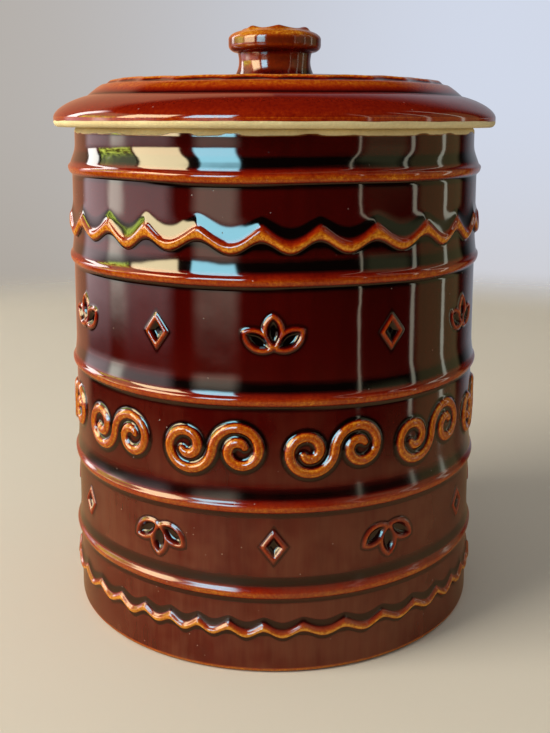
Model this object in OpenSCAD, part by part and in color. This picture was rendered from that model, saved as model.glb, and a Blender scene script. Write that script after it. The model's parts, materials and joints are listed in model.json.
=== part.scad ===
// Stoneware biscuit jar with a lift-off lid.
// The jar is a round wall with a little draft, ringed by five moulded hoops and two scalloped
// cords, with a band of lying S-scrolls and two bands of impressed leaf sprigs. The lid rests on
// the bare rim, and a ring under it keeps it centred in the mouth. The knob is formed apart and
// luted to the crown of the lid.
// Millimetres. +Z is up, the origin is the middle of the foot on the table, and the front is -Y.

/* [Bands of the jar, from the table up] */
// Height of the lowest hoop above the table
foot_band = 33.5; // [28:0.5:42]
// From the lowest hoop to the next one, around the lower band of sprigs
lower_sprig_band = 32; // [27:0.5:42]
// From there to the middle hoop, around the band of scrolls
scroll_band = 38.5; // [34:0.5:48]
// From there to the next hoop, around the upper band of sprigs
upper_sprig_band = 41; // [32:0.5:50]
// From there to the top hoop, around the scalloped cord
cord_band = 33.5; // [27:0.5:44]
// From the top hoop to the rim that carries the lid
neck_band = 13.5; // [10:0.5:24]

/* [Wall of the jar] */
// Outer radius of the wall at the top hoop
shoulder_r = 79.6; // [70:0.2:95]
// How much the wall widens from the top hoop to the foot
wall_draft = 4.4; // [0.5:0.1:8]
// How far the neck above the top hoop is set in
neck_inset = 1.2; // [0.4:0.1:2]
// Thickness of the wall
wall_t = 7; // [5:0.5:9]
// Height of the floor inside, above the table
floor_z = 8; // [6:0.5:14]
// Radius of the curve from the wall to the floor, inside
floor_fillet = 10; // [4:1:18]
// Depth of the hollow under the floor
foot_recess = 2.5; // [1:0.5:5]
// Width of the ring that the jar stands on
foot_ring_w = 8; // [5:0.5:14]
// Rounding of the bottom edge
foot_round = 2; // [1:0.5:3]
// Rounding of the rim's edges
rim_round = 1.4; // [0.6:0.2:2]

/* [Hoops and scalloped cords] */
// Height of a hoop, from its crease to the top of its cove
hoop_w = 8; // [6:0.5:10]
// How far a hoop stands out from the wall
hoop_out = 1.6; // [0.8:0.1:2.4]
// Height of a cord
cord_w = 6.4; // [4.5:0.2:7.5]
// How far a cord stands out from the wall
cord_out = 1.4; // [0.7:0.1:2]
// Scallops in the upper cord
upper_scallops = 25; // [16:1:32]
// Drop of the upper cord between two crests
upper_drop = 5.6; // [2:0.2:7]
// Place of its crests between its two hoops, as a share of the band
upper_place = 0.448; // [0.4:0.002:0.6]
// Direction of one of its crests, in degrees from the front
upper_crest_at = -3.35; // [-7:0.05:7]
// Scallops in the lower cord
lower_scallops = 39; // [24:1:44]
// Drop of the lower cord between two crests
lower_drop = 3.4; // [1.5:0.2:4.4]
// Height of the lower cord above the table
lower_cord_z = 17.5; // [14:0.5:20]
// How far the lower cord's crests wander from even spacing, in degrees
lower_wander = 2.4; // [0:0.1:3]

/* [Band of scrolls] */
// S-scrolls around the jar
scrolls = 12; // [8:1:14]
// Clear wall between two scrolls
scroll_gap = 1.6; // [1:0.2:4]
// Width of the line that a scroll is drawn with
scroll_line = 3.4; // [2.4:0.2:3.8]
// How far a scroll stands out from the wall
scroll_out = 1.4; // [0.7:0.1:2]
// Turns of each volute
scroll_turns = 1.4; // [0.8:0.1:1.6]
// Radius of a volute's eye, in line widths
scroll_eye = 0.62; // [0.55:0.01:0.9]

/* [Bands of sprigs] */
// Sprigs in each band
sprig_count = 6; // [3:1:8]
// Length of a leaf
leaf_l = 9; // [6:0.5:11]
// Width of a leaf
leaf_w = 4.6; // [3:0.2:6]
// Angle between two leaves of a sprig
leaf_spread = 56; // [48:2:70]
// From the foot of a sprig to the middle of a leaf, in leaf lengths
leaf_reach = 0.72; // [0.66:0.01:0.9]
// Length of a lozenge
lozenge_l = 8; // [5:0.5:11]
// Width of a lozenge
lozenge_w = 6; // [4:0.5:9]
// Width of the raised lip around a leaf
lip_w = 1.1; // [0.7:0.1:1.5]
// How far a lip stands out from the wall
lip_out = 0.8; // [0.4:0.1:1.4]
// Depth of a leaf below the wall
leaf_depth = 1; // [0.5:0.1:1.6]

/* [Lid] */
// How far the lid reaches past the rim
lid_overhang = 7.6; // [4:0.1:11]
// Height of the bare edge of the lid
lid_edge_h = 3.3; // [2:0.1:5]
// Rise of the lower flange, from the bare edge to the crease
flange_rise = 8; // [5:0.2:11]
// Width of the lower flange, seen from above
flange_w = 12.9; // [10:0.1:16]
// Share of the flange's rise that is rounded, and not straight
flange_round = 0.4; // [0.1:0.05:0.7]
// Rounding of the lid's lower edge
lid_edge_round = 1.8; // [0.6:0.1:1.9]
// Rise of the crown, from the crease to the seat of the knob
crown_rise = 7.9; // [6:0.1:10]
// Width of the rounded shoulder at the edge of the crown
crown_shoulder = 4; // [2:0.2:5]
// Thickness of the lid
lid_t = 6.5; // [5:0.5:8]
// Distance of the crown's scalloped ring from the crease
ring_inset = 10.4; // [8:0.2:20]
// Scallops in that ring
ring_scallops = 24; // [16:1:30]
// How far the ring goes in and out
ring_wave = 2.2; // [1:0.2:3]
// How far the ring stands up
ring_out = 1.3; // [0.6:0.1:1.8]
// Width of the ring's line
ring_w = 3.4; // [2.4:0.2:4.4]
// Depth of the locating ring that hangs in the mouth
locating_depth = 7; // [4:0.5:10]
// Thickness of the locating ring
locating_t = 5; // [3.5:0.5:7]
// Clearance all round between the locating ring and the mouth
locating_gap = 1.3; // [0.6:0.1:2]

/* [Knob] */
// Height of the knob
knob_h = 18.3; // [16:0.1:22]
// Largest radius of its cap
knob_r = 18; // [16:0.5:21]
// Radius of its neck at the waist
knob_waist_r = 14; // [11:0.5:14.5]
// Radius of the foot that is luted to the lid
knob_foot_r = 15.6; // [15:0.2:18]
// Height of the cap, from its lower edge to the top
knob_cap_h = 9; // [8:0.2:11]
// Height of the curve under the cap
cap_under = 2.4; // [1.5:0.1:3]
// Width of the rounded edge of the knob's top
cap_round = 7; // [5:0.1:8]
// Bumps on the rim of the knob's top
knob_bumps = 6; // [5:1:10]
// How far the rim goes down between two bumps
bump_down = 1.4; // [0.6:0.1:1.6]

/* [Hidden] */
$fn = 96;

glaze = [0.33, 0.06, 0.03];
amber = [0.62, 0.27, 0.05];

front = -90;
jar_h = foot_band + lower_sprig_band + scroll_band + upper_sprig_band + cord_band + neck_band;
hoops = [
    foot_band,
    foot_band + lower_sprig_band,
    foot_band + lower_sprig_band + scroll_band,
    foot_band + lower_sprig_band + scroll_band + upper_sprig_band,
    jar_h - neck_band
];
top_hoop = hoops[4];
foot_r = shoulder_r + wall_draft;
mouth_r = wall_r(jar_h) - wall_t;
// How deep the lower edges of the relief are sunk in the face that carries it.
sink = 1;
// Rise of a quarter circle over its chord, for a radius of 1.
quarter = 1 - sqrt(0.5);

// ---------- shapes shared by the pieces ----------

// Points on a circular arc from p to q that bulges by `rise` to the left of the way from p to q.
function arc(p, q, rise, n = 6) =
    let(chord = norm(q - p),
        radius = (chord * chord / 4 + rise * rise) / (2 * abs(rise)),
        half = 2 * atan(2 * abs(rise) / chord),
        along = (q - p) / chord,
        side = [-along[1], along[0]] * sign(rise))
    [for (i = [0:n]) let(a = half * (2 * i / n - 1))
        (p + q) / 2 + along * radius * sin(a) + side * radius * (cos(a) - cos(half))];

// Section of a hoop or cord for u from -1 at the crease below it to 1 at the top of its cove.
function bead(u) = u < 0 ? sqrt(1 - u * u) : (1 + cos(180 * u)) / 2;

// Radius of the outer wall at a height, without its relief.
function wall_r(z) =
    foot_r + (shoulder_r - foot_r) * z / top_hoop - (z > top_hoop ? neck_inset : 0);

// Steps of that section in the jar's outline.
bead_steps = [-1, -0.92, -0.7, -0.35, 0, 0.25, 0.5, 0.75, 1];

// Outline of one hoop, from its crease up. The neck is set in above the top hoop.
function hoop_outline(z) =
    [for (u = bead_steps) let(h = z + u * hoop_w / 2)
        [wall_r(u < 0.5 ? min(h, z) : h) + hoop_out * bead(u), h]];

// How far a scalloped line has dropped at a phase of its wave: 0 at the crests, 1 between them.
function scallop(phase) = (sqrt(pow(sin(phase / 2), 2) + 0.015) - 0.12) / 0.89;

// Closed tube of triangles through rings of points, ring i being rings[i].
module ring_tube(rings) {
    n = len(rings);
    m = len(rings[0]);
    polyhedron(
        points = [for (ring = rings) each ring],
        faces = [for (i = [0:n - 1], j = [0:m - 1])
            let(a = i * m + j, b = i * m + (j + 1) % m,
                c = ((i + 1) % n) * m + (j + 1) % m, d = ((i + 1) % n) * m + j)
            each [[a, b, c], [a, c, d]]]);
}

// Open tube of triangles through rings of points, closed by a flat cap at each end.
module rod_tube(rings) {
    n = len(rings);
    m = len(rings[0]);
    polyhedron(
        points = [for (ring = rings) each ring],
        faces = concat(
            [[for (j = [0:m - 1]) j]],
            [for (i = [0:n - 2], j = [0:m - 1])
                let(a = i * m + j, b = i * m + (j + 1) % m, c = a + m, d = b + m)
                each [[a, d, b], [a, c, d]]],
            [[for (j = [0:m - 1]) n * m - 1 - j]]));
}

// ---------- jar ----------

// Half outline of the jar, foot, outside, rim, inside and the hollow under the floor.
function jar_outline() = concat(
    [[0, foot_recess], [foot_r - foot_ring_w - foot_recess, foot_recess],
     [foot_r - foot_ring_w, 0]],
    arc([foot_r - foot_round, 0], [foot_r, foot_round], -foot_round * quarter, 4),
    [for (z = hoops) each hoop_outline(z)],
    arc([wall_r(jar_h), jar_h - rim_round], [wall_r(jar_h) - rim_round, jar_h],
        -rim_round * quarter, 4),
    arc([mouth_r + rim_round, jar_h], [mouth_r, jar_h - rim_round], -rim_round * quarter, 4),
    arc([wall_r(floor_z + floor_fillet) - wall_t, floor_z + floor_fillet],
        [wall_r(floor_z) - wall_t - floor_fillet, floor_z], floor_fillet * quarter, 5),
    [[0, floor_z]]);

// Section of a cord: places across it, as for bead(), and whether they stand out from the wall.
cord_section = [[-1, 0], [-0.85, 1], [-0.2, 1], [0.5, 1], [1, 0]];

// A scalloped cord around the wall: height of its crests, number of scallops, drop and the
// direction of one crest, with the crests of a hand-cut mould wandering a little.
module scalloped_cord(z, count, drop, crest_at, wander) {
    steps = 6;
    ring_tube([for (i = [0:count * steps - 1])
        let(phase = 360 * i / steps,
            turn = phase / count,
            a = front + crest_at + turn - wander * cos(4 * turn),
            h = z - drop * scallop(phase))
        [for (s = cord_section)
            let(hs = h + s[0] * cord_w / 2,
                r = wall_r(hs) + (s[1] == 0 ? -sink : cord_out * bead(s[0])))
            [r * cos(a), r * sin(a), hs]]]);
}

// Middle line of an S-scroll on the flat: t runs from -1 to 1, and the volutes wind in as |t| grows,
// a little faster at first than at the eye.
winding = 1.15;
function scroll_point(t, reach) =
    let(s = sign(t), d = abs(t), eye = scroll_line * scroll_eye,
        r = eye + (reach - eye) * pow(1 - d, winding),
        a = 180 - 360 * scroll_turns * d)
    t == 0 ? [0, 0] : s * [reach + r * cos(a), r * sin(a)];

// Section of a scroll: places across its line and heights over the wall, both as shares, with the
// edges sunk. A scroll's two tips are narrower by the share `tip`.
scroll_section = [[-1, 0], [-0.7, 0.75], [0, 1], [0.7, 0.75], [1, 0]];
tip = 0.6;

// One S-scroll, wrapped onto the wall at the angle a and the height z.
module scroll(a, z, reach) {
    steps = 12;
    around = 180 / (PI * wall_r(z));
    rod_tube([for (i = [-steps:steps])
        let(t = i / steps,
            p = scroll_point(t, reach),
            way = scroll_point(min(1, t + 0.01), reach) - scroll_point(max(-1, t - 0.01), reach),
            side = [-way[1], way[0]] / norm(way),
            w = scroll_line / 2 * (abs(i) == steps ? tip : 1))
        [for (s = scroll_section)
            let(q = p - side * w * s[0],
                r = wall_r(z + q[1]) + (s[1] == 0 ? -sink : s[1] * scroll_out),
                b = a + q[0] * around)
            [r * cos(b), r * sin(b), z + q[1]]]]);
}

// A band of S-scrolls between two hoops.
module scroll_ring() {
    z = (hoops[1] + hoops[2]) / 2;
    reach = (2 * PI * wall_r(z) / scrolls - scroll_gap - scroll_line) / 4;
    limit = (scroll_band - hoop_w - scroll_line) / 2 - 1;
    for (i = [0:scrolls - 1])
        scroll(front + 360 * (i + 0.5) / scrolls, z, min(reach, limit));
}

// Leaf outline: two arcs that meet in points, pointing up.
module leaf_shape(l, w) {
    polygon(concat(arc([0, -l / 2], [0, l / 2], -w / 2, 8), arc([0, l / 2], [0, -l / 2], -w / 2, 8)));
}

// Lozenge outline with its long axis upright.
module lozenge_shape(l, w) {
    polygon([[0, -l / 2], [w / 2, 0], [0, l / 2], [-w / 2, 0]]);
}

// Places a flat shape on the wall at an angle and height, facing outward.
module on_wall(a, z) {
    rotate([0, 0, a]) translate([wall_r(z), 0, z]) rotate([90, 0, 90]) children();
}

// Leaves of the two bands of sprigs and the lozenges between them, from a depth to a height over
// the wall. grow widens them for the lip, which is narrower along a leaf's sides by `lip_side`.
lip_side = 0.7;
module sprigs(from, to, grow) {
    for (band = [[(hoops[2] + hoops[3]) / 2, 0, 1], [(hoops[0] + hoops[1]) / 2, 0.5, -1]])
        for (i = [0:sprig_count - 1]) {
            a = front + 360 * (i + band[1]) / sprig_count;
            on_wall(a, band[0] - band[2] * leaf_l / 2)
                for (lean = [-1, 0, 1])
                    rotate([0, 0, lean * leaf_spread + (band[2] < 0 ? 180 : 0)])
                        translate([0, leaf_l * leaf_reach, from])
                            linear_extrude(to - from)
                                leaf_shape(leaf_l + 2 * grow, leaf_w + 2 * lip_side * grow);
            on_wall(a + 180 / sprig_count, band[0])
                translate([0, 0, from])
                    linear_extrude(to - from)
                        lozenge_shape(lozenge_l + 2 * grow, lozenge_w + 2 * grow);
        }
}

module jar() {
    color(glaze)
        difference() {
            union() {
                rotate_extrude() polygon(jar_outline());
                scalloped_cord(hoops[3] + cord_band * upper_place, upper_scallops, upper_drop,
                    upper_crest_at, 0);
                scalloped_cord(lower_cord_z + lower_drop / 2, lower_scallops, lower_drop, 0,
                    lower_wander);
                scroll_ring();
                sprigs(-2 * sink, lip_out, lip_w);
            }
            sprigs(-leaf_depth, hoop_w, 0);
        }
}

// ---------- lid ----------

lid_r = wall_r(jar_h) + lid_overhang;
crease_r = lid_r - flange_w;
ring_r = crease_r - ring_inset;
crease_z = jar_h + lid_edge_h + flange_rise;
seat_z = crease_z + crown_rise;

// Height of the crown's top face at a radius: a low dome, which takes this share of the crown's
// rise, with a rounded shoulder at its edge for the rest.
dome = 0.6;
// Height of the small step in the crease between the flange and the crown.
crease_step = 0.3;
function crown_z(r) =
    seat_z - crown_rise * dome * pow(max(0, r - knob_foot_r) / (crease_r - knob_foot_r), 2);

// Rounding of the end of the locating ring.
ring_end = 1.2;
// How far inside the crease the hollow under the crown ends, and the rounding of its corner where
// the locating ring starts.
hollow_inset = 12;
ring_root = 2;

// Half outline of the lid: seat, bare edge, flange, crown, hollow and locating ring.
function lid_outline() =
    let(out_r = mouth_r - locating_gap, in_r = out_r - locating_t, low = jar_h - locating_depth,
        edge_z = jar_h + lid_edge_h, dome_r = crease_r - crown_shoulder,
        hollow_r = crease_r - hollow_inset)
    concat(
        [[out_r, jar_h]],
        arc([lid_r - lid_edge_round, jar_h], [lid_r, jar_h + lid_edge_round],
            -lid_edge_round * quarter, 4),
        [for (i = [0:8]) let(q = cos(90 * i / 8))
            [crease_r + flange_w * q,
             edge_z + flange_rise * ((1 - flange_round) * (1 - q) + flange_round * sqrt(1 - q * q))]],
        arc([crease_r - crease_step / 3, crease_z + crease_step], [dome_r, crown_z(dome_r)],
            -crown_shoulder * quarter, 5),
        [for (i = [1:10]) let(r = dome_r + (knob_foot_r - dome_r) * i / 10) [r, crown_z(r)]],
        [[0, seat_z], [0, seat_z - lid_t]],
        [for (i = [0:5]) let(r = knob_foot_r + (hollow_r - knob_foot_r) * i / 5)
            [r, crown_z(r) - lid_t]],
        arc([in_r - ring_root / 2, jar_h + ring_root], [in_r, jar_h - ring_root], -0.3, 3),
        [[in_r, low + ring_end], [in_r + ring_end, low], [out_r - ring_end, low],
         [out_r, low + ring_end]]);

// Section of the ring on the crown: places across it and heights, both as shares, edges sunk.
ring_section = [[-1, 0], [-0.75, 0.7], [-0.25, 1], [0.25, 1], [0.75, 0.7], [1, 0]];

// Scalloped ring on the crown of the lid.
module crown_ring() {
    steps = 8;
    ring_tube([for (i = [0:ring_scallops * steps - 1])
        let(phase = 360 * i / steps,
            a = front + phase / ring_scallops,
            r = ring_r + ring_wave / 2 - ring_wave * scallop(phase))
        [for (s = ring_section)
            let(rs = r - s[0] * ring_w / 2,
                z = crown_z(rs) + (s[1] == 0 ? -sink : s[1] * ring_out))
            [rs * cos(a), rs * sin(a), z]]]);
}

module lid() {
    color(glaze) {
        rotate_extrude() polygon(lid_outline());
        crown_ring();
    }
}

// ---------- knob ----------

// Depth of the knob's dished top, how far inside the cap's rounded edge it ends, and how far the
// rim stands above the cap between two bumps.
dish = 1;
dish_inset = 1.5;
rim_rise = 0.2;

// Half outline of the knob: foot, waisted neck, cap with a rounded shoulder and a dished top.
function knob_outline() =
    let(top = seat_z + knob_h, cap_z = top - knob_cap_h, side_z = cap_z + knob_cap_h * 0.5,
        flat_r = knob_r - cap_round, rim_z = top - bump_down - rim_rise)
    concat(
        [[0, seat_z]],
        arc([knob_foot_r, seat_z], [knob_waist_r + 0.4, cap_z - cap_under / 2], 0.9, 6),
        arc([knob_waist_r + 1, cap_z - 0.3], [knob_r, cap_z + cap_under], -0.9, 5),
        arc([knob_r, side_z], [flat_r, rim_z], -1.3, 7),
        [[flat_r - dish_inset, rim_z - dish / 3], [0, rim_z - dish]]);

// Section of the rim of bumps: places across it, as shares, and depths below its top. Its edges
// are sunk in the cap.
rim_edge = bump_down + rim_rise + sink;
rim_section = [[-1, rim_edge], [-0.8, 0.5], [0, 0], [0.8, 0.5], [1, rim_edge]];
rim_half_w = 1.5;
// How far inside the cap's side the rim runs, how far it goes in between two bumps, and the
// direction of one bump.
rim_inset = 6.4;
bump_in = 1.2;
bump_at = 12;

// Rim of low bumps around the knob's top.
module knob_rim() {
    steps = 8;
    rim_r = knob_r - rim_inset;
    top = seat_z + knob_h;
    ring_tube([for (i = [0:knob_bumps * steps - 1])
        let(phase = 360 * i / steps,
            a = front + bump_at + phase / knob_bumps,
            r = rim_r - bump_in * scallop(phase),
            z = top - bump_down * scallop(phase))
        [for (s = rim_section)
            [(r - s[0] * rim_half_w) * cos(a), (r - s[0] * rim_half_w) * sin(a), z - s[1]]]]);
}

module knob() {
    color(amber) {
        rotate_extrude() polygon(knob_outline());
        knob_rim();
    }
}

jar();
lid();
knob();
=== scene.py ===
# %% [markdown]
# # A glazed stoneware biscuit jar
#
# This lesson builds a lidded jar as surfaces that numpy works out, and gives it a glaze that
# breaks from deep red-brown to amber wherever it runs thin over an edge. The solids of the jar,
# its lid and its knob are already there as a fixed frame. They say how large everything is and
# what moves. Here each of them is replaced by a finer skin in the same place.

import json

import bpy
import numpy as np
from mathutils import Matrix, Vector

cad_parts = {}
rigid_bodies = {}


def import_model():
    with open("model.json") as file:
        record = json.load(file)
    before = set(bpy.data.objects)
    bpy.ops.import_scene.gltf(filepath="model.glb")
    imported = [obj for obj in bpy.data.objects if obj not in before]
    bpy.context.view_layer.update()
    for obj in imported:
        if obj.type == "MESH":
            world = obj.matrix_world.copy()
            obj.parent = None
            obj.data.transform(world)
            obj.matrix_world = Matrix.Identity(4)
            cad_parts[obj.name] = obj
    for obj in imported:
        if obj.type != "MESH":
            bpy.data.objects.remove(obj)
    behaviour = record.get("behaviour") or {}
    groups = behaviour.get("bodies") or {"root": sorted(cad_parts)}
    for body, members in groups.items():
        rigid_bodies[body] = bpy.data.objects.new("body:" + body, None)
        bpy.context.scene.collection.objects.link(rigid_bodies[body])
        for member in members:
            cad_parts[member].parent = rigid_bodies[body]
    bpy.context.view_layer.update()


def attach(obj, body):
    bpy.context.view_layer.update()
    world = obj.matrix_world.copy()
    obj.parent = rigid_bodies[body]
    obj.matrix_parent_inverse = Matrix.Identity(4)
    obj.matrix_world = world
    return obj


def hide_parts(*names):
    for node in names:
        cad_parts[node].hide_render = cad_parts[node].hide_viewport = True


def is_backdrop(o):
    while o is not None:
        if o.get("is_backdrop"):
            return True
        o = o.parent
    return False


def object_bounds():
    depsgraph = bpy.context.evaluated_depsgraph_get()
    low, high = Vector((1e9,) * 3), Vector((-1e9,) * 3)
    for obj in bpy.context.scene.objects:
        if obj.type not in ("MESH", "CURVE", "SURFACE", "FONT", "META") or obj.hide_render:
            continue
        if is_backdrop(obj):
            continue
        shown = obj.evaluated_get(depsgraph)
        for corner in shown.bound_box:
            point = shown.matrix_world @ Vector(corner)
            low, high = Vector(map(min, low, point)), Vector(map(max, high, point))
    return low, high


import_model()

# %% [markdown]
# ## Sizes
#
# A potter thinks in millimetres and in bands: where each hoop sits above the table, how thick the
# wall is, how far the lid reaches past the rim. Most of these sizes made the solids too. A few, such
# as how full the flange is, were set anew against the photograph, and still stay inside the solids'
# box. Every surface below is worked out from them. Blender works in metres, so the points are
# multiplied by MM at the very end.

# %% Sizes of the jar, in millimetres
MM = 0.001
FRONT = np.radians(-90)
HOOPS = np.array([33.5, 65.5, 104.0, 145.0, 178.5])
HOOP_W, HOOP_OUT, HOOP_LIFT = 8.0, 1.6, 0.4
HOOP_FULL = [0.85, 0.9, 1.0, 1.0, 1.0]
HOOP_AMBER = [0.58, 0.56, 0.62, 0.64, 0.70]
JAR_H = 192.0
FOOT_R, SHOULDER_R = 84.0, 79.6
NECK_INSET, NECK_BELOW, NECK_RUN = 1.2, 0.8, 7.3
WALL_T, FLOOR_Z, FLOOR_FILLET = 7.0, 8.0, 10.0
FOOT_RECESS, FOOT_RING_W, FOOT_ROUND = 2.5, 8.0, 2.0
RIM_ROUND, RIM_BARE = 1.4, 1.9
BAND_SKIN, BAND_GAP, BAND_FADE = 1.8, 0.05, 1.2
print("hoops stand at", HOOPS.tolist(), "mm above the table")

# %% Sizes of the lid and the knob, in millimetres
LID_OVERHANG, LID_EDGE_H, LID_EDGE_ROUND = 7.6, 3.3, 1.8
FLANGE_RISE, FLANGE_W, FLANGE_ROUND = 8.0, 12.9, 0.62
CROWN_RISE, CROWN_SHOULDER, DOME, LID_T = 7.9, 5.6, 0.6, 6.5
RING_INSET, RING_SCALLOPS, RING_WAVE, RING_OUT, RING_W = 10.4, 24, 2.2, 1.3, 3.4
LOCATING_DEPTH, LOCATING_T, LOCATING_GAP, HOLLOW_INSET = 7.0, 5.0, 1.3, 12.0
KNOB_H, KNOB_R, KNOB_WAIST_R, KNOB_FOOT_R = 18.3, 18.0, 14.0, 15.6
KNOB_CAP_H, CAP_ROUND, KNOB_BUMPS, BUMP_DOWN, BUMP_AT = 9.0, 7.0, 6, 1.4, 12.0
SEAT_Z = JAR_H + LID_EDGE_H + FLANGE_RISE + CROWN_RISE
print("the knob starts at", SEAT_Z, "mm and ends at", SEAT_Z + KNOB_H, "mm")

# %% [markdown]
# ## Small shapes that every surface uses
#
# A mould that was cut by hand has no sharp corner and no perfectly even line, and the glaze rounds
# it further. A few helpers carry that: soft steps and humps, a hand's unevenness that closes on
# itself after one turn round the jar, and a running mean that levels a height as melting glaze does.
# Noise textures could shake the surface too, but then the rims of two pieces that meet would no
# longer agree. Sums of whole waves do agree, because each piece asks for the same angle.


# %% Soft steps, uneven hand and levelling
def smooth(x):
    """3x^2 - 2x^3 between 0 and 1: a step with soft ends."""
    x = np.clip(x, 0, 1)
    return x * x * (3 - 2 * x)


def window(x, start, end, soft):
    """1 between start and end, 0 outside, with soft sides of the given width."""
    return smooth((x - start) / soft + 0.5) * (1 - smooth((x - end) / soft + 0.5))


def hump(x, middle, width):
    """e to the minus square of the distance from the middle over the width: 1 at the middle."""
    return np.exp(-(((x - middle) / width) ** 2))


def hand(angle, size, lowest, highest, seed):
    """Unevenness of a hand round the jar: a sum of sines with whole numbers of waves, random in
    phase and weight, scaled so that its usual size is `size`."""
    random = np.random.default_rng(seed)
    waves = np.arange(lowest, highest + 1)[:, None]
    phase = random.uniform(0, 2 * np.pi, waves.shape)
    weight = random.normal(size=waves.shape)
    flat = (weight * np.sin(waves * np.ravel(angle) + phase)).sum(0)
    return size * flat.reshape(np.shape(angle)) / np.sqrt(0.5 * (weight**2).sum())


def level(field, sigma_rows, sigma_columns):
    """Running Gaussian mean of a field of heights: the columns close on themselves, and the rows
    are held at their ends."""
    for axis, sigma in ((0, sigma_rows), (1, sigma_columns)):
        reach = int(3 * sigma) + 1
        taps = np.arange(-reach, reach + 1)
        weight = np.exp(-0.5 * (taps / sigma) ** 2)
        pad = [(reach, reach) if a == axis else (0, 0) for a in (0, 1)]
        padded = np.pad(field, pad, mode="wrap" if axis else "edge")
        count = field.shape[axis]
        parts = [w * np.take(padded, range(i, i + count), axis) for i, w in enumerate(weight)]
        field = sum(parts) / weight.sum()
    return field


sample = hand(np.linspace(0, 2 * np.pi, 360), 0.1, 2, 9, 1)
strays = [round(float(v), 2) for v in (sample.min(), sample.max())]
print("an uneven hand of 0.1 mm strays from", *strays, "mm")

# %% [markdown]
# ## From a grid of points to a closed skin
#
# All pieces are round, so each is a grid: rows run along its profile, and columns go once round
# the axis. A grid that starts and ends on the axis gets one point at each pole. A grid that is a
# closed band has its last row joined to its first. The faces follow from row and column numbers
# alone, so they are worked out as whole arrays too. Spinning a curve with a modifier would give
# the same rings, but it couldn't carry relief that changes round the jar.


# %% Make a mesh from a grid
def skin(name, points, body, node, marks, closed_band=False, sharp_rows=()):
    """One piece from points[row, column] in mm. Without closed_band the first and last rows are
    poles. marks are fields of the same shape, kept as point attributes for the glaze."""
    rows, columns = points.shape[:2]
    index = np.arange(rows * columns).reshape(rows, columns)
    if not closed_band:
        index = index - (columns - 1) * (index >= columns)
        index[0] = 0
        index[-1] = index[-1, 0]
    keep = np.unique(index, return_index=True)[1]
    ends = np.vstack([index, index[:1]]) if closed_band else index
    low, high = ends[:-1], ends[1:]
    quads = np.stack([low, np.roll(low, -1, 1), np.roll(high, -1, 1), high], -1)
    if closed_band:
        faces = [quads.reshape(-1, 4)]
    else:
        faces = [quads[0][:, [0, 2, 3]], quads[1:-1].reshape(-1, 4), quads[-1][:, [0, 1, 2]]]
    sizes = np.concatenate([np.full(len(f), f.shape[1]) for f in faces])
    corners = np.concatenate([f.ravel() for f in faces])
    place = points.reshape(-1, 3)[keep] * MM
    mesh = bpy.data.meshes.new(name)
    mesh.vertices.add(len(place))
    mesh.vertices.foreach_set("co", place.astype(np.float32).ravel())
    mesh.loops.add(len(corners))
    mesh.loops.foreach_set("vertex_index", corners.astype(np.int32))
    mesh.polygons.add(len(sizes))
    starts = np.concatenate([[0], np.cumsum(sizes)[:-1]])
    mesh.polygons.foreach_set("loop_start", starts.astype(np.int32))
    mesh.update(calc_edges=True)
    mesh.polygons.foreach_set("use_smooth", np.ones(len(sizes), bool))
    row_of = np.repeat(np.arange(rows), columns)[keep]
    pairs = np.zeros(len(mesh.edges) * 2, np.int32)
    mesh.edges.foreach_get("vertices", pairs)
    edge_rows = row_of[pairs.reshape(-1, 2)]
    sharp = (edge_rows[:, 0] == edge_rows[:, 1]) & np.isin(edge_rows[:, 0], sharp_rows)
    mesh.attributes.new("sharp_edge", "BOOLEAN", "EDGE").data.foreach_set("value", sharp)
    for key, field in marks.items():
        spread = np.broadcast_to(field, (rows, columns)).ravel()[keep]
        values = np.ascontiguousarray(spread, np.float32)
        mesh.attributes.new(key, "FLOAT", "POINT").data.foreach_set("value", values)
    piece = bpy.data.objects.new(name, mesh)
    bpy.context.scene.collection.objects.link(piece)
    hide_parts(node)
    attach(piece, body)
    widest = float(np.hypot(*place[:, :2].T).max()) / MM
    print(name, "has", int((sizes - 2).sum()), "triangles, radius", round(widest, 2))
    return piece


# %% Turn a profile, join its stretches and round its corners
def turned(radius, height, angle):
    """Points of a grid from radius and height above the table at each angle round the axis."""
    radius, height, angle = np.broadcast_arrays(radius, height, angle)
    return np.stack([radius * np.cos(angle), radius * np.sin(angle), height], -1)


def along(*parts):
    """Joins stretches of a profile. Each is (radii, heights, mark), with the mark, such as bare
    clay, the same over the stretch."""
    radius = np.concatenate([np.broadcast_arrays(r, z)[0].ravel() for r, z, _ in parts])
    height = np.concatenate([np.broadcast_arrays(r, z)[1].ravel() for r, z, _ in parts])
    mark = np.concatenate([np.full(np.broadcast(r, z).size, m, float) for r, z, m in parts])
    return radius[:, None], height[:, None], mark[:, None]


def corner(r0, z0, r1, z1, start, steps):
    """Quarter of an ellipse from (r0, z0) to (r1, z1). It leaves along the height if start is
    "z", and along the radius if it is "r"."""
    t = np.linspace(0, np.pi / 2, steps)
    early, late = np.sin(t), 1 - np.cos(t)
    across, up = (late, early) if start == "z" else (early, late)
    return r0 + (r1 - r0) * across, z0 + (z1 - z0) * up


arc = np.round(corner(0, 0, 1, 1, "z", 3), 2).tolist()
print("a corner runs through", arc[0], "across and", arc[1], "up")
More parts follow.
